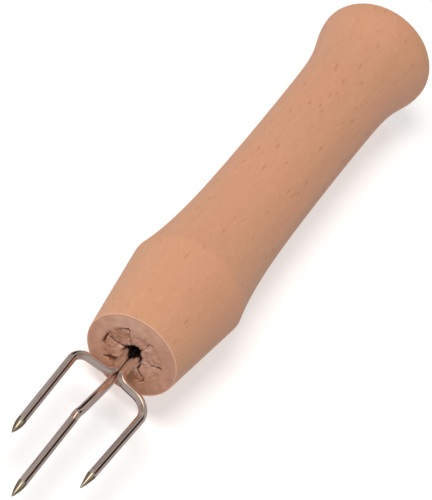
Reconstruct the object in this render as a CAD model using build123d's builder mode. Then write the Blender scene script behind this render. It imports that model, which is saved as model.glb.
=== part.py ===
"""Three-tined pricking fork: a turned beech handle with three bent wire tines crimped into it.

It lies on its side as on a table. +X runs along the handle's axis towards the points of the
tines, +Y is to the left of someone who looks along +X, and +Z is up. The outer tines lie level.
The origin is on the table, under the middle of the whole fork. All sizes are in millimetres.
"""

import os
from math import sqrt

from build123d import *

# The handle: distances are counted back from its front face, and pairs are (distance, radius).
HANDLE_LENGTH = 114.5
FACE_RADIUS = 9.55
FACE_EDGE_ROUND = 0.3
SHOULDER = (22.5, 12.3)  # the corner where the nose cone meets the hollow of the grip
NECK = (33.0, 10.8)
WAIST = (56.0, 9.9)
PALM = (90.0, 10.13)
FLARE = (103.0, 11.08)
BELL = (108.5, 12.34)
BUTT_RADIUS = 13.1
BUTT_EDGE_ROUND = 1.8
SHOULDER_SLOPE = -0.21  # how fast the radius changes just behind the corner

# The wires: distances are counted forward from the handle's front face. The centre tine ends a
# little lower than the outer ones, and its kink's bends are (distance, offset to the right, height
# over its straight end).
WIRE_DIAMETER = 1.75
WIRE_CLEARANCE = 0.04
BORE_RADIUS = 2.4
BORE_DEPTH = 28.0
POINT_LENGTH = 3.75
POINT_TIP_RADIUS = 0.15
SHANK_REACH = 6.6
SHANK_BEND_RADIUS = 2.0
ARM_LEAN = 0.7
OUTER_REACH = 32.0
OUTER_TIP_SPREAD = 7.85
CENTRE_REACH = 42.4
CENTRE_TIP_OFFSET = 0.72
CENTRE_DROP = 0.8
CENTRE_RISE_AT = 7.8
CENTRE_RISE_RADIUS = 12.0
KINK_BENDS = ((17.4, 0.75, 0.2), (18.9, 1.02, 0.4), (20.4, 0.9, 0.0))
KINK_RADIUS = 3.0

# The outer tines are bent by hand and differ a little: side, spread and radius of the bend.
OUTER_TINES = {"left_tine": (1, 8.85, 4.0), "right_tine": (-1, 8.25, 2.8)}

# The points are ground by hand too, as two cones: how far they bulge out where the cones meet.
POINT_BULGES = {"left_tine": 0.05, "right_tine": 0.2, "centre_tine": 0.13}

# The star-shaped crimp that closes the end grain of the front face on the wires. Angles are in
# degrees from the left, up over the top. Each slit has a short nick across its outer end.
CRIMP_ANGLES = (17, 76, 124, 180, 238, 320)
CRIMP_RADIUS = 6.0
CRIMP_SLIT_WIDTH = 0.35
CRIMP_DEPTH = 2.0
CRIMP_NICK_LENGTH = 1.8

# Worked out from the driving dimensions. The wires lie at the bottom of the bore as a bundle of
# three, two above and one below.
WIRE_RADIUS = WIRE_DIAMETER / 2
WIRE_SPACING = WIRE_DIAMETER + WIRE_CLEARANCE
CENTRE_Z = WIRE_RADIUS + WIRE_CLEARANCE - BORE_RADIUS
OUTER_Z = CENTRE_Z + WIRE_SPACING * sqrt(3) / 2
FRONT_X = (HANDLE_LENGTH - CENTRE_REACH) / 2
AXIS_Z = BUTT_RADIUS


def outline(distance, radius):
    """A point of the handle's outline, in the upright plane through its axis."""
    return (FRONT_X - distance, AXIS_Z + radius)


def place(forward, left, up):
    """A place counted from the middle of the front face, in the part's own frame."""
    return (FRONT_X + forward, left, AXIS_Z + up)


def outer_route(side, spread):
    """Corners of an outer tine: out of the bore, sideways along the arm and forward to the point."""
    arm_end = SHANK_REACH + ARM_LEAN
    converge = (spread - OUTER_TIP_SPREAD) / (OUTER_REACH - arm_end)
    point_base = OUTER_REACH - POINT_LENGTH
    return [
        place(-BORE_DEPTH, side * WIRE_SPACING / 2, OUTER_Z),
        place(SHANK_REACH, side * WIRE_SPACING / 2, OUTER_Z),
        place(arm_end, side * spread, OUTER_Z),
        place(point_base, side * (OUTER_TIP_SPREAD + converge * POINT_LENGTH), OUTER_Z),
    ]


def centre_route():
    """Corners of the centre tine: it leaves the bore lowest and rises a little towards the kink."""
    end_z = OUTER_Z - CENTRE_DROP
    return [
        place(-BORE_DEPTH, 0, CENTRE_Z),
        place(CENTRE_RISE_AT, 0, CENTRE_Z),
        *[place(forward, -offset, end_z + height) for forward, offset, height in KINK_BENDS],
        place(CENTRE_REACH - POINT_LENGTH, -CENTRE_TIP_OFFSET, end_z),
    ]


os.makedirs("parts", exist_ok=True)

# The handle is one turned piece, bored from the front and split by the crimp.
front_face = Plane(origin=place(0, 0, 0), x_dir=(0, 1, 0), z_dir=(1, 0, 0))

with BuildPart() as handle:
    with BuildSketch(Plane.XZ):
        with BuildLine():
            grip = Spline(
                outline(*SHOULDER),
                outline(*NECK),
                outline(*WAIST),
                outline(*PALM),
                outline(*FLARE),
                outline(*BELL),
                outline(HANDLE_LENGTH - BUTT_EDGE_ROUND, BUTT_RADIUS),
                tangents=((-1, SHOULDER_SLOPE), (-1, 0)),
            )
            butt_edge = TangentArc(
                grip @ 1,
                outline(HANDLE_LENGTH, BUTT_RADIUS - BUTT_EDGE_ROUND),
                tangent=grip % 1,
            )
            Polyline(
                butt_edge @ 1,
                outline(HANDLE_LENGTH, 0),
                outline(0, 0),
                outline(0, FACE_RADIUS),
                grip @ 0,
            )
        make_face()
    revolve(axis=Axis(place(0, 0, 0), (1, 0, 0)))
    fillet(handle.edges().filter_by(GeomType.CIRCLE).sort_by(Axis.X)[-1], FACE_EDGE_ROUND)
    with BuildSketch(front_face):
        Circle(BORE_RADIUS)
    extrude(amount=-BORE_DEPTH, mode=Mode.SUBTRACT)
    with BuildSketch(front_face):
        for angle in CRIMP_ANGLES:
            with PolarLocations(CRIMP_RADIUS / 2, 1, start_angle=angle):
                Rectangle(CRIMP_RADIUS, CRIMP_SLIT_WIDTH)
            with PolarLocations(CRIMP_RADIUS, 1, start_angle=angle):
                Rectangle(CRIMP_SLIT_WIDTH, CRIMP_NICK_LENGTH)
    extrude(amount=-CRIMP_DEPTH, mode=Mode.SUBTRACT)

handle.part.label = "handle"
export_step(handle.part, "parts/handle.step")

# The tines are round wire, bent and then ground to a point, whose profile is turned about the
# line of the wire's end.
routes = {
    name: (outer_route(side, spread), [SHANK_BEND_RADIUS, bend_radius])
    for name, (side, spread, bend_radius) in OUTER_TINES.items()
}
routes["centre_tine"] = (centre_route(), [CENTRE_RISE_RADIUS] + [KINK_RADIUS] * len(KINK_BENDS))

for name, (corners, bend_radii) in routes.items():
    with BuildPart() as tine:
        with BuildLine() as route:
            FilletPolyline(corners, radius=bend_radii)
        with BuildSketch(Plane(origin=route.line @ 0, z_dir=route.line % 0)):
            Circle(WIRE_RADIUS)
        sweep()
        with BuildSketch(Plane(origin=route.line @ 1, x_dir=route.line % 1, z_dir=(0, 0, 1))):
            with BuildLine():
                Polyline(
                    (0, WIRE_RADIUS),
                    (POINT_LENGTH / 2, (WIRE_RADIUS + POINT_TIP_RADIUS) / 2 + POINT_BULGES[name]),
                    (POINT_LENGTH, POINT_TIP_RADIUS),
                    (POINT_LENGTH, 0),
                    (0, 0),
                    close=True,
                )
            make_face()
        revolve(axis=Axis(route.line @ 1, route.line % 1))
    tine.part.label = name
    export_step(tine.part, f"parts/{name}.step")
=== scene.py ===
"""Looks of the three-tined pricking fork: crimped beech handle and nickel-plated wire tines."""

import math

import bpy
import numpy as np
from mathutils import Matrix, Vector, noise


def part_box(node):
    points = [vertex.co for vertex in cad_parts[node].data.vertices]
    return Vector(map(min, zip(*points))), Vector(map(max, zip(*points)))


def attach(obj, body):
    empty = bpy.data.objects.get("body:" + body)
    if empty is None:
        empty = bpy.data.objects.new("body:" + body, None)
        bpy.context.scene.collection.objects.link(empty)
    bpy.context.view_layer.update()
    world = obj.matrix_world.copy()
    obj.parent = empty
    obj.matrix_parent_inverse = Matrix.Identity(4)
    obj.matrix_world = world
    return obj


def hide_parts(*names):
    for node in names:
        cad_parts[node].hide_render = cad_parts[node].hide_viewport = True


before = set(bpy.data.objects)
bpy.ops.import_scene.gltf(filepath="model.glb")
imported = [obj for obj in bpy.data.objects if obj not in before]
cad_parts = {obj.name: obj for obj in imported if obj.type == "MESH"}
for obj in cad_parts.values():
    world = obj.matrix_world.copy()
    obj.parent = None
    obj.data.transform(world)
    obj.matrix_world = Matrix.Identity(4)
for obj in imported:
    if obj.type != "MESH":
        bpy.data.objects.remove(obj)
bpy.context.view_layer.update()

MM = 0.001
handle_low, handle_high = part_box("handle")
AXIS_Y = (handle_low.y + handle_high.y) / 2
AXIS_Z = (handle_low.z + handle_high.z) / 2
FRONT = Vector((handle_high.x, AXIS_Y, AXIS_Z))  # middle of the handle's front face

# Camera: it stands off from the front face by an offset in metres, looks back and down at the
# fork, and is rolled so that the handle runs up to the right.
CAMERA_OFFSET = Vector((0.2975, -0.00013, 0.3386))
CAMERA_AZIMUTH = math.radians(90)
CAMERA_ELEVATION = math.radians(45.47)
CAMERA_ROLL = math.radians(39.1)
CAMERA_LENS = 172.8

# Handle, in millimetres: distances are counted back from the front face, and pairs are
# (distance, radius), as the CAD model has them.
HANDLE_LENGTH = (handle_high.x - handle_low.x) / MM
BUTT_RADIUS = (handle_high.z - handle_low.z) / 2 / MM
BUTT_EDGE_ROUND = 1.8
FACE_RADIUS = 9.55
FACE_EDGE_ROUND = 0.3
GRIP_STATIONS = [(22.5, 12.3), (33.0, 10.8), (56.0, 9.9), (90.0, 10.13), (103.0, 11.08), (108.5, 12.34)]
SHOULDER_SLOPE = -0.21
BORE_RADIUS = 2.4
BORE_DEPTH = 28.0

# Wires, in millimetres: distances are counted forward from the front face. The kink's bends are
# (distance, offset to the right, height over the centre tine's straight end).
WIRE_RADIUS = 0.875
WIRE_CLEARANCE = 0.04
WIRE_SPACING = 2 * WIRE_RADIUS + WIRE_CLEARANCE
POINT_LENGTH = 3.75
POINT_TIP_RADIUS = 0.15
POINT_BULGES = {"left_tine": 0.05, "right_tine": 0.2, "centre_tine": 0.13}
SHANK_REACH = 6.6
SHANK_BEND_RADIUS = 2.0
ARM_LEAN = 0.7
OUTER_TIP_SPREAD = 7.85
OUTER_TINES = {"left_tine": (1, 8.85, 4.0), "right_tine": (-1, 8.25, 2.8)}
CENTRE_TIP_OFFSET = 0.72
CENTRE_DROP = 0.8
CENTRE_RISE_AT = 7.8
CENTRE_RISE_RADIUS = 12.0
KINK_BENDS = ((17.4, 0.75, 0.2), (18.9, 1.02, 0.4), (20.4, 0.9, 0.0))
KINK_RADIUS = 3.0
CENTRE_Z = WIRE_RADIUS + WIRE_CLEARANCE - BORE_RADIUS
OUTER_Z = CENTRE_Z + WIRE_SPACING * math.sqrt(3) / 2

# Star crimp, in millimetres and degrees: each slit's points are (angle, radius, width), from the
# hole outwards. Most slits end in a short nick across their outer end.
SLITS = [
    [(165, 1.9, 0.30), (178, 3.4, 0.20), (180, 5.2, 0.16), (179, 6.0, 0.28), (201, 6.2, 0.26)],
    [(128, 2.2, 0.10), (125, 4.5, 0.06), (122, 5.9, 0.18), (124, 6.1, 0.34), (143, 6.3, 0.10)],
    [(69, 2.4, 0.16), (71, 4.2, 0.10), (76, 5.6, 0.15), (66, 6.0, 0.12)],
    [(24, 2.0, 0.08), (14, 4.5, 0.10), (17, 5.6, 0.24), (19, 6.2, 0.32)],
    [(22, 1.9, 0.16), (-20, 2.6, 0.26), (-43, 3.3, 0.28)],
    [(-43, 3.3, 0.28), (-38, 5.1, 0.14), (-36, 6.1, 0.24), (-50, 6.4, 0.16)],
    [(248, 2.2, 0.20), (244, 4.2, 0.62), (238, 5.3, 0.60), (231, 6.3, 0.34)],
]
SLIT_DEPTH = 2.0  # times its width
SLIT_DEEPEST_WIDTH = 0.36  # a wider slit is no deeper
SLIT_PULL = (0.20, 0.45)  # how far the wood beside a slit is pulled in, and how far out that reaches

# Petals of crushed wood between the slits: the angle of each one's middle in degrees, how far it
# is sunk at its outer end and at its inner end in mm, and the painted light on its outer end (painted
# shade below 0).
PETALS = [
    (152, 0.20, 0.10, -0.45),
    (98, 0.04, 0.20, 0.10),
    (46, 0.16, 0.05, 0.10),
    (-12, 0.22, 0.00, 0.20),
    (-80, 0.25, 0.35, -0.20),
    (212, 0.15, 0.10, -0.30),
]
PETAL_HALF_WIDTH = 22
PETAL_REACH = 6.1
CRIMP_EDGE = 6.9

# The hole that the crushed wood leaves around the wires. Its lobes are (angle, extra radius, half
# width in degrees), and its edge is pulled in by a depth that fades over a distance outwards.
MOUTH_RADIUS = 1.90
MOUTH_LOBES = [(88, 0.58, 26), (-90, 0.50, 32)]
MOUTH_PULL = (0.30, 0.30)
MOUTH_FUNNEL = [(1.5, 0.0), (3.0, 0.5), (4.5, 1.0), (12.0, 1.0)]  # (depth, share of way to bore wall)

# Torn wood as lumps, knobs, grit and dust: (how fine, seed, height in mm on the petals and on the
# plain face around them).
TORN_WOOD = [
    (0.75, 3.1, 0.16, 0.03),
    (1.9, 5.3, 0.08, 0.0),
    (4.5, 7.7, 0.016, 0.005),
    (11.0, 1.3, 0.006, 0.0),
]

# Darker and paler parts of the face: (angle of the middle, half width, share).
FACE_DARKER_BOTTOM = (-78, 58, 0.95)
FACE_PALE = (118, 45, 0.45)

# Mesh of the handle: points around a ring, rings of each stretch, and the grip's step in mm.
SIDE_POINTS = 240
FACE_POINTS = 720
RIM_RINGS = 7
NOSE_RINGS = 28
GRIP_STEP = 1.0
BUTT_EDGE_RINGS = 8
BUTT_FLAT_RINGS = 12
PLAIN_RINGS = 8
CRIMPED_RINGS = 65
# The front edge's pale band is partly wear and partly a painted highlight.
WORN_AND_HIGHLIT_RIM = (0.1, 0.6)  # depths between which the front edge is worn pale, times its rounding

# Mesh of a wire: points around a ring, the longest step in mm, the steps of its bends in degrees,
# rings of a ground point and of its rounded tip, and the sharpest edge that is shaded smooth.
WIRE_POINTS = 40
WIRE_STEP = 1.0
BEND_STEP = 4
FEWEST_BEND_STEPS = 4
POINT_RINGS = 14
TIP_ANGLES = (25, 50, 72)
WIRE_CREASE = math.radians(25)
PLATED_SLOT = 0
GROUND_SLOT = 1

# Studio, with distances and sizes in metres: where the light comes from, and the radiance of what
# the bright wires reflect. A patch is (middle, way of its long side, sines of its half length and
# half width, colour), and later ones cover earlier ones.
KEY_WAY = (0.29, -0.28, 0.90)
KEY_POWER = 3.5
KEY_DISTANCE = 0.75
KEY_SIZE = 0.30
KEY_COLOUR = (1.0, 0.98, 0.95)
FLOOR_SIZE = 6.0
FLOOR_GAP = 0.0002
DOME_COLOUR = (0.435, 0.440, 0.455, 1)
DIM_COLOUR = (0.300, 0.265, 0.225, 1)
DARK_COLOUR = (0.025, 0.011, 0.006, 1)
BRIGHT_COLOUR = (2.000, 1.850, 1.640, 1)
PATCH_FADE = 0.8  # where a patch starts to fade, and where it ends, both times its half size
PATCH_END = 1.3
STUDIO_PATCHES = [
    ((-0.20, 0.0, 0.98), (0.0, 1.0, 0.0), 0.97, 0.28, DIM_COLOUR),
    ((-0.61, 0.46, 0.64), (0.0, 0.81, -0.58), 0.33, 0.12, DARK_COLOUR),
    ((-0.80, -0.48, 0.37), (0.0, 0.61, 0.79), 0.36, 0.16, DARK_COLOUR),
    ((0.44, -0.26, -0.86), (0.89, 0.0, 0.45), 0.28, 0.22, DARK_COLOUR),
    ((-0.26, -0.20, 0.945), (0.96, 0.0, 0.27), 0.18, 0.15, BRIGHT_COLOUR),
]


def place(forward, left, up):
    """A place in metres from millimetres forward, left and up of the front face's middle."""
    return FRONT + Vector((forward, left, up)) * MM


# ---------------------------------------------------------------- node helpers


class Graph:
    """Short ways to add and join shader nodes in one node tree."""

    def __init__(self, tree):
        self.tree = tree

    def add(self, kind, **settings):
        """A node of a kind, with its properties set."""
        made = self.tree.nodes.new("ShaderNode" + kind)
        for key, value in settings.items():
            setattr(made, key, value)
        return made

    def feed(self, socket, value):
        """Join an output to a socket, or set the socket's value."""
        if isinstance(value, bpy.types.NodeSocket):
            self.tree.links.new(value, socket)
        elif value is not None:
            socket.default_value = value

    def math(self, operation, a, b=None, c=None, clamp=False):
        """A math node's output."""
        made = self.add("Math", operation=operation, use_clamp=clamp)
        for socket, value in zip(made.inputs, (a, b, c)):
            self.feed(socket, value)
        return made.outputs[0]

    def scaled(self, vector, scale):
        """A vector multiplied by a scale on each axis."""
        made = self.add("VectorMath", operation="MULTIPLY")
        self.feed(made.inputs[0], vector)
        made.inputs[1].default_value = scale
        return made.outputs[0]

    def plus(self, vector, other):
        """Two vectors added."""
        made = self.add("VectorMath", operation="ADD")
        self.feed(made.inputs[0], vector)
        self.feed(made.inputs[1], other)
        return made.outputs[0]

    def dot(self, vector, axis):
        """How far a vector reaches along an axis."""
        made = self.add("VectorMath", operation="DOT_PRODUCT")
        self.feed(made.inputs[0], vector)
        made.inputs[1].default_value = axis
        return made.outputs["Value"]

    def noise(self, vector, detail=2.0, roughness=0.5, distortion=0.0):
        """A noise texture's value, from 0 to 1."""
        made = self.add("TexNoise")
        self.feed(made.inputs["Vector"], vector)
        made.inputs["Scale"].default_value = 1.0
        made.inputs["Detail"].default_value = detail
        made.inputs["Roughness"].default_value = roughness
        made.inputs["Distortion"].default_value = distortion
        return made.outputs["Fac"]

    def ramp(self, value, low, high):
        """0 below low and 1 above high, or the other way round where low is above high."""
        made = self.add("MapRange", interpolation_type="SMOOTHSTEP")
        self.feed(made.inputs["Value"], value)
        made.inputs["From Min"].default_value = low
        made.inputs["From Max"].default_value = high
        return made.outputs["Result"]

    def mix(self, share, first, second):
        """Two colours mixed by a share."""
        made = self.add("Mix", data_type="RGBA")
        self.feed(made.inputs["Factor"], share)
        self.feed(made.inputs["A"], first)
        self.feed(made.inputs["B"], second)
        return made.outputs["Result"]

    def attribute(self, name):
        """A float kept on the mesh's points."""
        return self.add("Attribute", attribute_name=name).outputs["Fac"]

    def bump(self, height, distance, strength, normal=None):
        """A bumped normal from a height in metres."""
        made = self.add("Bump")
        made.inputs["Strength"].default_value = strength
        made.inputs["Distance"].default_value = distance
        self.feed(made.inputs["Height"], height)
        self.feed(made.inputs["Normal"], normal)
        return made.outputs["Normal"]


# ---------------------------------------------------------------- camera, floor and lights


def add_camera():
    """The camera at the photograph's viewing angle."""
    data = bpy.data.cameras.new("camera")
    data.lens = CAMERA_LENS
    data.sensor_width = 36
    data.clip_start = 0.01
    camera = bpy.data.objects.new("camera", data)
    turn = (
        Matrix.Rotation(CAMERA_AZIMUTH, 4, "Z")
        @ Matrix.Rotation(math.pi / 2 - CAMERA_ELEVATION, 4, "X")
        @ Matrix.Rotation(CAMERA_ROLL, 4, "Z")
    )
    camera.matrix_world = Matrix.Translation(FRONT + CAMERA_OFFSET) @ turn
    bpy.context.scene.collection.objects.link(camera)
    bpy.context.scene.camera = camera


def add_key_light():
    """A round softbox that faces the fork, and that the wires don't reflect."""
    data = bpy.data.lights.new("key", "AREA")
    data.shape = "DISK"
    data.size = KEY_SIZE
    data.energy = KEY_POWER
    data.color = KEY_COLOUR
    light = bpy.data.objects.new("key", data)
    away = Vector(KEY_WAY).normalized()
    light.location = Vector((0, AXIS_Y, AXIS_Z)) + away * KEY_DISTANCE
    light.rotation_euler = away.to_track_quat("Z", "Y").to_euler()
    light.visible_glossy = False
    bpy.context.scene.collection.objects.link(light)


def add_world():
    """A pale studio dome with dark and bright patches.

    They draw the dark lines along the bright wires, their glints and the streaks on their points.
    """
    world = bpy.data.worlds.new("studio")
    bpy.context.scene.world = world
    world.use_nodes = True
    g = Graph(world.node_tree)
    way = g.add("TexCoord").outputs["Generated"]
    colour = DOME_COLOUR
    for middle, long_way, half_length, half_width, patch_colour in STUDIO_PATCHES:
        middle = Vector(middle).normalized()
        across = middle.cross(Vector(long_way)).normalized()
        along = across.cross(middle)
        share = g.ramp(g.dot(way, middle), 0.0, 0.1)  # 0 on the far side of the dome
        for axis, half in ((along, half_length), (across, half_width)):
            off = g.math("ABSOLUTE", g.dot(way, axis))
            share = g.math("MULTIPLY", share, g.ramp(off, half * PATCH_END, half * PATCH_FADE))
        colour = g.mix(share, colour, patch_colour)
    background = world.node_tree.nodes["Background"]
    g.feed(background.inputs["Color"], colour)
    background.inputs["Strength"].default_value = 1.0


def add_floor():
    """A plain pale table top under the fork, which the wires don't reflect."""
    mesh = bpy.data.meshes.new("floor")
    half = FLOOR_SIZE / 2
    corners = [(-half, -half, 0), (half, -half, 0), (half, half, 0), (-half, half, 0)]
    mesh.from_pydata(corners, [], [(0, 1, 2, 3)])
    floor = bpy.data.objects.new("floor", mesh)
    floor.location.z = -FLOOR_GAP
    bpy.context.scene.collection.objects.link(floor)
    floor.visible_glossy = False
    material = bpy.data.materials.new("white_table")
    material.use_nodes = True
    shader = material.node_tree.nodes["Principled BSDF"]
    shader.inputs["Base Color"].default_value = (0.62, 0.62, 0.62, 1)
    shader.inputs["Emission Color"].default_value = (1, 1, 1, 1)
    shader.inputs["Emission Strength"].default_value = 0.50
    shader.inputs["Roughness"].default_value = 0.9
    shader.inputs["Specular IOR Level"].default_value = 0.1
    mesh.materials.append(material)


# ---------------------------------------------------------------- materials

# Ray flecks of the beech, as two layers: (how close along and across the grain, size, strength).
FLECK_LAYERS = [((0.24, 1.05, 1.05), 0.28, 0.50), ((0.36, 1.70, 1.70), 0.28, 0.26)]

# Linear colours.
BEECH_LIGHT = (0.665, 0.342, 0.202, 1)
BEECH_DARK = (0.635, 0.320, 0.186, 1)
BEECH_PINK = (0.670, 0.322, 0.196, 1)
SHEEN_MARK = (0.760, 0.430, 0.270, 1)
FLECK = (0.400, 0.155, 0.070, 1)
END_PALE = (0.590, 0.300, 0.200, 1)
END_DEEP = (0.520, 0.255, 0.165, 1)
END_DARKENED = (0.270, 0.100, 0.035, 1)
PALE_TORN_AND_LIT = (0.850, 0.560, 0.430, 1)
RIM_WEAR_AND_HIGHLIGHT = (0.820, 0.520, 0.370, 1)
# Painted shade in the slits, in the hole round the wires and down the bore.
CUT_SHADE = (0.060, 0.016, 0.011, 1)
NICKEL = (0.850, 0.675, 0.590, 1)
# Paler nickel on the shanks next to the handle: a painted reflection that offsets the reddish wood they
# reflect.
PAINTED_SHANK_NICKEL = (0.950, 0.950, 0.900, 1)
PAINTED_SHANK_ENDS = (5.4, 4.0)  # in mm past the front face, where the paler nickel starts and is full
# Ground points: a painted highlight along their tops and painted shade on their sides.
GROUND_PAINTED_HIGHLIGHT = (0.960, 0.860, 0.700, 1)
GROUND_PAINTED_SHADE = (0.330, 0.245, 0.155, 1)
TARNISH = (0.200, 0.120, 0.080, 1)


def new_material(name):
    """A material, with its node helper and its shader."""
    material = bpy.data.materials.new(name)
    material.use_nodes = True
    return material, Graph(material.node_tree), material.node_tree.nodes["Principled BSDF"]


def side_grain(g, grain_mm):
    """Colour of the turned sides, and how much of it is ray fleck."""
    streaks = g.noise(g.scaled(grain_mm, (0.02, 0.30, 0.30)), detail=3.0, distortion=0.4)
    patches = g.noise(g.scaled(grain_mm, (0.04, 0.09, 0.09)))
    mottle = g.noise(g.scaled(grain_mm, (0.35, 1.1, 1.1)), roughness=0.6, distortion=1.2)
    fibres = g.noise(g.scaled(grain_mm, (0.30, 5.0, 5.0)), detail=3.0, roughness=0.6)
    colour = g.mix(g.ramp(streaks, 0.25, 0.75), BEECH_DARK, BEECH_LIGHT)
    colour = g.mix(g.math("MULTIPLY", g.ramp(patches, 0.42, 0.66), 0.75), colour, BEECH_PINK)
    colour = g.mix(g.math("MULTIPLY", g.ramp(mottle, 0.50, 0.78), 0.30), colour, SHEEN_MARK)
    colour = g.mix(g.math("MULTIPLY", g.ramp(mottle, 0.46, 0.22), 0.22), colour, BEECH_DARK)
    colour = g.mix(g.math("MULTIPLY", g.ramp(fibres, 0.35, 0.75), 0.10), colour, FLECK)

    flecks = 0.0
    wander = g.noise(g.scaled(grain_mm, (0.05, 0.12, 0.12)), detail=1.0)
    for scale, size, strength in FLECK_LAYERS:
        cells = g.add("TexVoronoi", feature="F1")
        g.feed(cells.inputs["Vector"], g.plus(g.scaled(grain_mm, scale), wander))
        cells.inputs["Scale"].default_value = 1.0
        draw = g.math("FRACT", g.math("MULTIPLY", cells.outputs["Color"], 7.3))  # random by cell
        fleck = g.ramp(cells.outputs["Distance"], size, size * 0.5)
        fleck = g.math("MULTIPLY", fleck, g.ramp(draw, 0.55, 1.0))
        flecks = g.math("MAXIMUM", flecks, g.math("MULTIPLY", fleck, strength))
    return g.mix(flecks, colour, FLECK), flecks, fibres


def end_grain(g, grain_mm):
    """Colour of the cut ends: fine pores, uneven patches, a darker bottom, painted light and shade on
    the crushed petals, and pale torn fibres.
    """
    pores = g.noise(g.scaled(grain_mm, (0.2, 4.5, 4.5)), detail=3.0, roughness=0.7)
    patches = g.noise(g.scaled(grain_mm, (0.6, 0.55, 0.55)), detail=3.0, roughness=0.6)
    colour = g.mix(g.ramp(patches, 0.35, 0.65), END_DEEP, END_PALE)
    colour = g.mix(g.math("MULTIPLY", g.ramp(pores, 0.45, 0.75), 0.25), colour, END_DEEP)
    tone = g.attribute("tone")
    # Below 0 the tone darkens the end, with the petals' painted shade and the darker bottom of the
    # face; above 0 it pales it, with torn fibres and the petals' painted light.
    darkened = g.math("MULTIPLY", tone, -1.0, clamp=True)
    torn = g.math("MULTIPLY", tone, 1.0, clamp=True)
    colour = g.mix(g.math("MULTIPLY", darkened, 0.85), colour, END_DARKENED)
    return g.mix(g.math("MULTIPLY", torn, 0.7), colour, PALE_TORN_AND_LIT), pores


def beech_material():
    """Bare turned beech: faint streaks and short dark ray flecks along the grain, browner ends."""
    material, g, shader = new_material("beech")
    grain_mm = g.scaled(g.add("TexCoord").outputs["Object"], (1000, 1000, 1000))
    side_colour, flecks, fibres = side_grain(g, grain_mm)
    end_colour, pores = end_grain(g, grain_mm)
    facing = g.math("ABSOLUTE", g.dot(g.add("NewGeometry").outputs["Normal"], (1, 0, 0)))
    end = g.math("MAXIMUM", g.ramp(facing, 0.60, 0.92), g.attribute("crimped"))
    colour = g.mix(end, side_colour, end_colour)
    # Pale front edge: partly wear, partly a painted highlight.
    colour = g.mix(g.math("MULTIPLY", g.attribute("rim"), 0.6), colour, RIM_WEAR_AND_HIGHLIGHT)
    # Painted shade in the slits, the hole and the bore.
    colour = g.mix(g.attribute("cut"), colour, CUT_SHADE)
    g.feed(shader.inputs["Base Color"], colour)
    g.feed(shader.inputs["Roughness"], g.math("MULTIPLY_ADD", fibres, 0.14, 0.48))
    shader.inputs["Specular IOR Level"].default_value = 0.35
    shader.inputs["Sheen Weight"].default_value = 0.05
    shader.inputs["Sheen Roughness"].default_value = 0.5
    fine = g.bump(fibres, 0.00003, 0.4)
    fine = g.bump(g.math("MULTIPLY", pores, end), 0.00003, 0.3, fine)
    g.feed(shader.inputs["Normal"], g.bump(flecks, 0.00005, 0.3, fine))
    return material


def wire_material(name, painted_highlight_colour, side_colour, roughness, lines, depth):
    """Bright metal with fine lines, whose closeness along and around the wire is given.

    It takes a painted highlight colour on top and a painted shade colour on its sides, and is painted
    paler on the shanks, next to the handle, as a painted reflection.
    """
    material, g, shader = new_material(name)
    position = g.add("Attribute", attribute_name="wire_place").outputs["Vector"]
    fine = g.noise(g.scaled(position, lines), detail=3.0, roughness=0.6)
    tarnish = g.noise(g.scaled(position, (0.25, 1.2, 1.2)), detail=3.0, roughness=0.6)
    # A painted highlight along the wire's top, over painted shade on its sides; the plating uses one
    # colour for both.
    top = g.ramp(g.dot(position, (0, 1, 0)), 0.75, 0.97)
    colour = g.mix(top, side_colour, painted_highlight_colour)
    # Painted reflection: paler nickel on the shanks, next to the handle.
    painted_shank = g.ramp(g.dot(position, (1, 0, 0)), *(BORE_DEPTH + end for end in PAINTED_SHANK_ENDS))
    colour = g.mix(painted_shank, colour, PAINTED_SHANK_NICKEL)
    shade = g.math("MULTIPLY", g.ramp(tarnish, 0.4, 0.8), 0.22)
    g.feed(shader.inputs["Base Color"], g.mix(shade, colour, TARNISH))
    shader.inputs["Metallic"].default_value = 1.0
    g.feed(shader.inputs["Roughness"], g.math("MULTIPLY_ADD", fine, 0.08, roughness - 0.04))
    g.feed(shader.inputs["Normal"], g.bump(fine, depth, 0.3))
    return material


# ---------------------------------------------------------------- handle


def clamped_spline(points, start, end):
    """Cubic curve through the points that leaves and arrives along two unit tangents."""
    p = np.array(points, float)
    span = np.linalg.norm(np.diff(p, axis=0), axis=1)
    count = len(p)
    system = np.eye(count)
    known = np.zeros_like(p)
    known[0], known[-1] = start, end
    for i in range(1, count - 1):
        before, after = span[i - 1], span[i]
        system[i, i - 1 : i + 2] = after, 2 * (before + after), before
        known[i] = 3 * ((p[i] - p[i - 1]) * after / before + (p[i + 1] - p[i]) * before / after)
    slope = np.linalg.solve(system, known)
    curve = []
    for i in range(count - 1):
        pieces = max(2, round(span[i] / GRIP_STEP))
        for t in np.arange(pieces) / pieces:
            curve.append(
                (1 + 2 * t) * (1 - t) ** 2 * p[i]
                + t * (1 - t) ** 2 * span[i] * slope[i]
                + t * t * (3 - 2 * t) * p[i + 1]
                + t * t * (t - 1) * span[i] * slope[i + 1]
            )
    return curve + [p[-1]]


def unit(x, y):
    """A direction of length 1."""
    return np.array((x, y)) / math.hypot(x, y)


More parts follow.
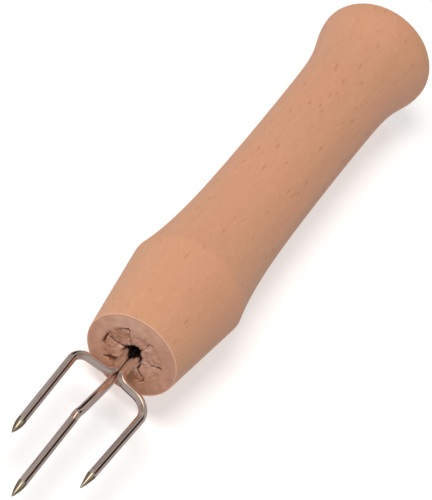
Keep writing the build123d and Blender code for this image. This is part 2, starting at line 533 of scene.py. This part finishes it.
def side_outline():
    """(distance, radius) pairs from the front face's flat, over its edge, to the butt's middle."""
    shoulder = GRIP_STATIONS[0]
    nose_angle = math.atan((shoulder[1] - FACE_RADIUS) / shoulder[0])
    corner = math.pi / 2 - nose_angle
    setback = FACE_EDGE_ROUND * math.tan(corner / 2)
    rim = []
    for t in np.linspace(0, 1, RIM_RINGS):
        angle = t * corner
        rim.append(
            (
                FACE_EDGE_ROUND * (1 - math.cos(angle)),
                FACE_RADIUS - setback + FACE_EDGE_ROUND * math.sin(angle),
            )
        )
    nose = np.linspace(rim[-1], shoulder, NOSE_RINGS + 2)[1:-1].tolist()
    butt_at = HANDLE_LENGTH - BUTT_EDGE_ROUND
    stations = GRIP_STATIONS + [(butt_at, BUTT_RADIUS)]
    grip = clamped_spline(stations, unit(1, SHOULDER_SLOPE), unit(1, 0))
    edge = [
        (
            butt_at + BUTT_EDGE_ROUND * math.sin(angle),
            BUTT_RADIUS - BUTT_EDGE_ROUND * (1 - math.cos(angle)),
        )
        for angle in np.linspace(0, math.pi / 2, BUTT_EDGE_RINGS + 1)[1:]
    ]
    flat_radii = np.linspace(edge[-1][1], 0, BUTT_FLAT_RINGS + 2)[1:-1]
    flat = [(HANDLE_LENGTH, radius) for radius in flat_radii]
    return rim + nose + [tuple(point) for point in grip] + edge + flat


def polar(angle, radius):
    """(left, up) from an angle in degrees and a radius."""
    return np.array((math.cos(math.radians(angle)), math.sin(math.radians(angle)))) * radius


def distance_to_slit(points, slit):
    """Each point's distance to a slit's line, and how wide the slit is there."""
    nearest = np.full(len(points), np.inf)
    width = np.zeros(len(points))
    for (*start, start_width), (*end, end_width) in zip(slit, slit[1:]):
        a, b = polar(*start), polar(*end)
        along = np.clip(((points - a) @ (b - a)) / ((b - a) @ (b - a)), 0, 1)
        gap = np.linalg.norm(points - (a + along[:, None] * (b - a)), axis=1)
        width = np.where(gap < nearest, start_width + along * (end_width - start_width), width)
        nearest = np.minimum(gap, nearest)
    return nearest, width


def smooth(value, low, high):
    """0 at low and 1 at high, with a smooth change between."""
    t = np.clip((value - low) / (high - low), 0, 1)
    return t * t * (3 - 2 * t)


def bell(value, half):
    """A smooth bump, 1 where the value is 0 and about a third where it is half."""
    return np.exp(-((value / half) ** 2))


def face_noise(points, scale, seed):
    """Smooth noise at points of the face, about -1 to 1, seeded by its third coordinate."""
    return np.array([noise.noise(Vector((y * scale, z * scale, seed))) for y, z in points]) * 1.6


def turned_from(angle, middle):
    """How far an angle is from another, from -180 to 180 degrees."""
    return (angle - middle + 180) % 360 - 180


def mouth_radius(angle):
    """Radius of the hole that the crushed wood leaves around the wires, at an angle."""
    lobes = [extra * bell(turned_from(angle, middle), half) for middle, extra, half in MOUTH_LOBES]
    return MOUTH_RADIUS + sum(lobes)


def petals_at(radius, angle):
    """How far the petals are sunk in mm, and the light and shade painted on them, at places of the
    face.
    """
    outward = smooth(radius, BORE_RADIUS, PETAL_REACH)
    weights = np.zeros(len(radius))
    sink = np.zeros(len(radius))
    pale = np.zeros(len(radius))
    for middle, outer, inner, petal_painted_light in PETALS:
        weight = bell(turned_from(angle, middle), PETAL_HALF_WIDTH) + 1e-6  # never quite 0
        sink += (outer * outward + inner * (1 - outward)) * weight
        pale += petal_painted_light * weight
        weights += weight
    sink /= weights
    pale *= smooth(radius, 3.0, 4.5) / weights
    return sink, pale


def crimp_shape(points):
    """Height of the crimped face over its flat in mm, and its cut (painted shade), crimped and tone
    shares.
    """
    radius = np.linalg.norm(points, axis=1)
    angle = np.degrees(np.arctan2(points[:, 1], points[:, 0]))
    relief = [(face_noise(points, scale, seed), *heights) for scale, seed, *heights in TORN_WOOD]
    lumps, knobs, grit = (values for values, *_ in relief[:3])

    sink, pale = petals_at(radius, angle)
    crimped = smooth(radius + 0.25 * lumps, PETAL_REACH + 0.2, PETAL_REACH - 0.35)
    height = crimped * (sum(values * torn for values, torn, _ in relief) - sink)
    height += (1 - crimped) * sum(values * plain for values, _, plain in relief)

    cut = np.zeros(len(points))
    # The tone holds the petals' painted light and shade, random knobs and grit, and a pale line beside
    # each slit.
    tone = pale + 0.20 * knobs + 0.10 * grit
    pull, pull_reach = SLIT_PULL
    for slit in SLITS:
        gap, width = distance_to_slit(points, slit)
        gap = np.maximum(gap + 0.05 * grit, 0)
        groove = bell(gap, 0.7 * width)
        height -= SLIT_DEPTH * np.minimum(width, SLIT_DEEPEST_WIDTH) * groove
        height -= crimped * pull * np.exp(-gap / pull_reach)
        # How much painted shade a slit gets: wide ones get less.
        darkness = 0.80 * smooth(width, 0.02, 0.24) - 0.38 * smooth(width, 0.30, 0.55)
        cut = np.maximum(cut, groove * darkness)
        tone += (0.3 + 0.5 * knobs) * bell(gap - 1.6 * width, 0.22)

    from_mouth = radius - mouth_radius(angle)
    pull, pull_reach = MOUTH_PULL
    height -= pull * np.exp(-from_mouth / pull_reach)
    # Painted shade at the edge of the hole round the wires.
    cut = np.maximum(cut, smooth(from_mouth, 0.22, 0.02))
    middle, half, share = FACE_DARKER_BOTTOM
    darker_bottom = share * bell(turned_from(angle, middle), half) * smooth(radius, 2.5, 5.0)
    middle, half, share = FACE_PALE
    paler = share * bell(turned_from(angle, middle), half) * smooth(radius, 5.0, 6.8)
    tone = crimped * tone - darker_bottom + paler + 0.15 * lumps
    return height, cut, crimped, np.clip(tone, -1, 1)


class Lathe:
    """A closed turned mesh, built up from rings of points about the handle's axis."""

    def __init__(self, names):
        self.verts = []
        self.rings = []
        self.shares = {name: [] for name in names}

    def share(self, count, values):
        """Keep a value for each new point under every name."""
        for name, kept in self.shares.items():
            kept.extend(np.broadcast_to(values.get(name, 0.0), count))

    def ring(self, count, radius, depth, **values):
        """Add a ring of points, with one radius and depth behind the front face, or one for each."""
        self.rings.append((len(self.verts), count))
        turn = np.arange(count) * 2 * math.pi / count
        for angle, r, back in zip(turn, *np.broadcast_arrays(radius, depth, turn)[:2]):
            self.verts.append(place(-back, r * math.cos(angle), r * math.sin(angle)))
        self.share(count, values)

    def mesh(self, name):
        """Join the rings with faces, close both ends and make the mesh."""
        faces = []
        for (first, count), (second, next_count) in zip(self.rings, self.rings[1:]):
            step = next_count // count
            for i in range(count):
                inner = [second + (i * step + k) % next_count for k in range(step + 1)]
                faces.append([first + i, first + (i + 1) % count] + inner[::-1])
        for (first, count), order in ((self.rings[0], -1), (self.rings[-1], 1)):
            middle = len(self.verts)
            self.verts.append(sum(self.verts[first : first + count], Vector()) / count)
            self.share(1, {key: kept[first] for key, kept in self.shares.items()})
            faces += [[first + i, first + (i + 1) % count, middle][::order] for i in range(count)]
        made = bpy.data.meshes.new(name)
        made.from_pydata(self.verts, [], faces)
        for key, kept in self.shares.items():
            made.attributes.new(key, "FLOAT", "POINT").data.foreach_set("value", kept)
        made.shade_smooth()
        return made


def handle_mesh():
    """The turned handle with its crimped end grain and its blind bore, as one closed mesh."""
    lathe = Lathe(("cut", "crimped", "tone", "rim"))
    outline = side_outline()
    for distance, radius in reversed(outline):
        rim = 1.0 if WORN_AND_HIGHLIT_RIM[0] < distance / FACE_EDGE_ROUND < WORN_AND_HIGHLIT_RIM[1] else 0.0
        lathe.ring(SIDE_POINTS, radius, distance, rim=rim)
    turn = np.arange(FACE_POINTS) * 2 * math.pi / FACE_POINTS
    circle = np.stack([np.cos(turn), np.sin(turn)], 1)
    mouth = mouth_radius(np.degrees(turn))
    plain_rings = np.linspace(outline[0][1], CRIMP_EDGE, PLAIN_RINGS + 1)[1:, None] + 0 * turn
    inward = np.linspace(0, 1, CRIMPED_RINGS + 1)[1:, None]
    crimped_rings = CRIMP_EDGE + inward * (mouth - CRIMP_EDGE)
    for radius in np.concatenate([plain_rings, crimped_rings]):
        height, cut, crimped, tone = crimp_shape(circle * radius[:, None])
        lathe.ring(FACE_POINTS, radius, -height, cut=cut, crimped=crimped, tone=tone)
    # The funnel and the bore wall are painted in full shade.
    for depth, share in MOUTH_FUNNEL + [(BORE_DEPTH, 1.0)]:
        lathe.ring(FACE_POINTS, mouth + share * (BORE_RADIUS - mouth), depth, cut=1.0)
    return lathe.mesh("handle_turned")


# ---------------------------------------------------------------- wires


def bent_line(corners, radii):
    """Centreline of a bent wire: straight runs, with a tangent arc at each inner corner."""
    line = [corners[0]]
    for before, corner, after, radius in zip(corners, corners[1:], corners[2:], radii):
        back = (before - corner).normalized()
        onward = (after - corner).normalized()
        half = back.angle(onward) / 2
        radius = radius * MM
        inward = (back + onward).normalized()
        middle = corner + inward * radius / math.sin(half)
        turn = math.pi - 2 * half
        steps = max(FEWEST_BEND_STEPS, round(math.degrees(turn) / BEND_STEP))
        axis = back.cross(onward).normalized()
        for i in range(steps + 1):
            spoke = Matrix.Rotation(turn * (i / steps - 0.5), 3, -axis) @ -inward
            line.append(middle + spoke * radius)
    return line + [corners[-1]]


def spaced(line, gap):
    """The line with points added on its straight runs, no further apart than gap."""
    out = [line[0]]
    for a, b in zip(line, line[1:]):
        pieces = max(1, math.ceil((b - a).length / gap))
        out += [a.lerp(b, i / pieces) for i in range(1, pieces + 1)]
    return out


def point_profile(bulge):
    """(distance, radius) pairs in mm along a ground point, with a small rounded tip."""
    cone = POINT_LENGTH - POINT_TIP_RADIUS
    profile = []
    for t in np.linspace(0, 1, POINT_RINGS + 1)[1:]:
        straight = WIRE_RADIUS + (POINT_TIP_RADIUS - WIRE_RADIUS) * t
        profile.append((cone * t, straight + 4 * bulge * t * (1 - t)))
    for angle in np.radians(TIP_ANGLES):
        reach = cone + POINT_TIP_RADIUS * math.sin(angle)
        profile.append((reach, POINT_TIP_RADIUS * math.cos(angle)))
    return profile


def wire_rings(line, sizes):
    """Rings of points along a wire, and where each point is on it.

    That is (length along the wire in mm, cosine and sine of the angle around it).
    """
    lengths = [0.0]
    for a, b in zip(line, line[1:]):
        lengths.append(lengths[-1] + (b - a).length / MM)
    verts, places = [], []
    tangent = (line[1] - line[0]).normalized()
    across = Vector((0, 0, 1))
    for i, (point, size) in enumerate(zip(line, sizes)):
        ahead = line[min(i + 1, len(line) - 1)] - line[max(i - 1, 0)]
        turned = tangent.rotation_difference(ahead.normalized())
        across = turned @ across
        tangent = ahead.normalized()
        side = tangent.cross(across)
        for k in range(WIRE_POINTS):
            angle = 2 * math.pi * k / WIRE_POINTS
            out = across * math.cos(angle) + side * math.sin(angle)
            verts.append(point + out * size * MM)
            places.append((lengths[i], math.cos(angle), math.sin(angle)))
    return verts, places


def wire_mesh(name, corners, radii, bulge):
    """A round wire along its bent line, whose last stretch is ground to a point."""
    line = spaced(bent_line(corners, radii), WIRE_STEP * MM)
    tip_way = (line[-1] - line[-2]).normalized()
    base = len(line) - 1
    sizes = [WIRE_RADIUS] * len(line)
    for distance, size in point_profile(bulge):
        line.append(line[base] + tip_way * distance * MM)
        sizes.append(size)
    verts, places = wire_rings(line, sizes)

    around = WIRE_POINTS
    faces = []
    slots = []
    for i in range(len(line) - 1):
        for k in range(around):
            m = (k + 1) % around
            low, high = i * around, (i + 1) * around
            faces.append((low + k, low + m, high + m, high + k))
            slots.append(GROUND_SLOT if i >= base else PLATED_SLOT)
    tip = line[base] + tip_way * POINT_LENGTH * MM
    for ring, centre, outward in ((0, line[0], False), (len(line) - 1, tip, True)):
        middle = len(verts)
        verts.append(centre)
        places.append((places[ring * around][0], 0, 0))
        for k in range(around):
            corner = [ring * around + k, ring * around + (k + 1) % around, middle]
            faces.append(corner if outward else corner[::-1])
            slots.append(GROUND_SLOT if outward else PLATED_SLOT)

    mesh = bpy.data.meshes.new(name)
    mesh.from_pydata(verts, [], faces)
    mesh.attributes.new("wire_place", "FLOAT_VECTOR", "POINT").data.foreach_set(
        "vector", np.array(places).ravel()
    )
    mesh.polygons.foreach_set("material_index", slots)
    mesh.shade_smooth()
    mesh.set_sharp_from_angle(angle=WIRE_CREASE)
    return mesh


def outer_corners(side, spread, reach):
    """Corners of an outer tine's line, up to where its ground point starts."""
    arm_end = SHANK_REACH + ARM_LEAN
    converge = (spread - OUTER_TIP_SPREAD) / (reach - arm_end)
    return [
        place(-BORE_DEPTH, side * WIRE_SPACING / 2, OUTER_Z),
        place(SHANK_REACH, side * WIRE_SPACING / 2, OUTER_Z),
        place(arm_end, side * spread, OUTER_Z),
        place(reach - POINT_LENGTH, side * (OUTER_TIP_SPREAD + converge * POINT_LENGTH), OUTER_Z),
    ]


def centre_corners(reach):
    """Corners of the centre tine's line, up to where its ground point starts."""
    end_z = OUTER_Z - CENTRE_DROP
    return [
        place(-BORE_DEPTH, 0, CENTRE_Z),
        place(CENTRE_RISE_AT, 0, CENTRE_Z),
        *[place(forward, -offset, end_z + height) for forward, offset, height in KINK_BENDS],
        place(reach - POINT_LENGTH, -CENTRE_TIP_OFFSET, end_z),
    ]


# ---------------------------------------------------------------- build


def add_piece(mesh, name, node, materials):
    """Put a finished mesh in the scene in place of its CAD node."""
    for material in materials:
        mesh.materials.append(material)
    piece = bpy.data.objects.new(name, mesh)
    bpy.context.scene.collection.objects.link(piece)
    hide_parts(node)
    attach(piece, "root")


add_camera()
add_world()
add_floor()
add_key_light()
bpy.context.scene.view_settings.view_transform = "Standard"

add_piece(handle_mesh(), "turned_handle", "handle", [beech_material()])

plated = wire_material("nickel_plate", NICKEL, NICKEL, 0.14, (0.2, 6.0, 6.0), 0.00001)
# The ground points get a painted highlight on top and painted shade on their sides.
ground = wire_material("ground_steel", GROUND_PAINTED_HIGHLIGHT, GROUND_PAINTED_SHADE, 0.11, (7.0, 0.6, 0.6), 0.00002)
for tine, (side, spread, bend) in OUTER_TINES.items():
    reach = (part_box(tine)[1].x - FRONT.x) / MM
    corners = outer_corners(side, spread, reach)
    mesh = wire_mesh(tine + "_wire", corners, [SHANK_BEND_RADIUS, bend], POINT_BULGES[tine])
    add_piece(mesh, tine + "_wire", tine, [plated, ground])
centre_reach = (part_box("centre_tine")[1].x - FRONT.x) / MM
bends = [CENTRE_RISE_RADIUS] + [KINK_RADIUS] * len(KINK_BENDS)
mesh = wire_mesh("centre_tine_wire", centre_corners(centre_reach), bends, POINT_BULGES["centre_tine"])
add_piece(mesh, "centre_tine_wire", "centre_tine", [plated, ground])
